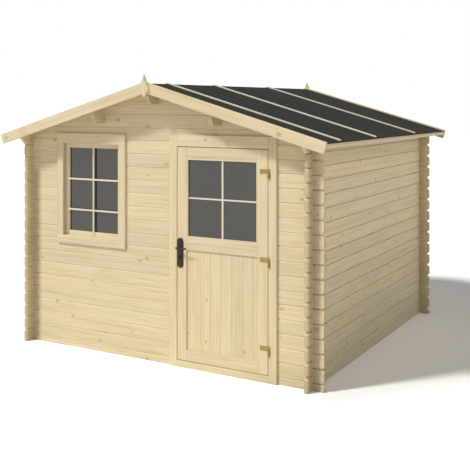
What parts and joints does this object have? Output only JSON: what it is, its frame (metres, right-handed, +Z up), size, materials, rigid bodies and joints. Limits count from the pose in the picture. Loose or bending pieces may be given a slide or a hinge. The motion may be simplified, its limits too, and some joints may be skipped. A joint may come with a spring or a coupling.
{
  "type": "garden shed",
  "caption": "Garden shed of interlocked pine logs with a half-glazed door, a front window and a felted gable roof",
  "frame": {"origin": "on the ground, in the middle of the building between the outer faces of its four walls", "axes": "+X to the right along the front, +Y from the front wall to the back wall, +Z up"},
  "size_m": [3.186, 3.31, 2.4039],
  "materials": {
    "pine": "planed, unpainted pine with small knots",
    "roof_felt": "mineral-grained bitumen felt",
    "window_glass": "clear float glass",
    "door_glass": "clear float glass",
    "brass": "brass-plated steel",
    "black_iron": "black satin"
  },
  "bodies": {
    "shed": {"front_sill_log": "pine", "front_wall_left": "pine", "front_wall_right": "pine", "front_wall_gable": "pine", "back_wall": "pine", "left_wall": "pine", "right_wall": "pine", "eaves_logs": "pine", "floor_bearers": "pine", "floor_boards": "pine", "ridge_purlin": "pine", "side_purlins": "pine", "roof_boards_left": "pine", "roof_boards_right": "pine", "roof_felt_left": "roof_felt", "roof_felt_right": "roof_felt", "roof_battens_left": "pine", "roof_battens_right": "pine", "front_bargeboard_left": "pine", "front_bargeboard_right": "pine", "rear_bargeboard_left": "pine", "rear_bargeboard_right": "pine", "finials": "pine", "eaves_batten_left": "pine", "eaves_batten_right": "pine", "door_jambs": "pine", "door_head": "pine", "door_threshold": "pine", "door_casing_sides": "pine", "door_casing_ends": "pine", "window_frame_sides": "pine", "window_head_and_sill": "pine", "window_casing_sides": "pine", "window_casing_ends": "pine", "window_sash_stiles": "pine", "window_sash_rails": "pine", "window_glass": "window_glass", "hinge_posts": "brass"},
    "door": {"door_stiles": "pine", "door_rails": "pine", "door_panel": "pine", "door_glass": "door_glass", "hinge_straps": "brass", "handle_plates": "black_iron"},
    "lever": {"door_lever": "black_iron"}
  },
  "joints": [
    {"name": "door_hinge", "type": "hinge", "parent": "shed", "child": "door", "pos_m": [1.045, -1.429, 0.001], "axis": [0, 0, 1], "range_deg": [0, 150]},
    {"name": "lever_turn", "type": "hinge", "parent": "door", "child": "lever", "pos_m": [0.239, -1.42, 0.983], "axis": [0, 1, 0], "range_deg": [0, 40], "stiffness_Nm_per_rad": 1.2, "springref_deg": -22.92}
  ]
}
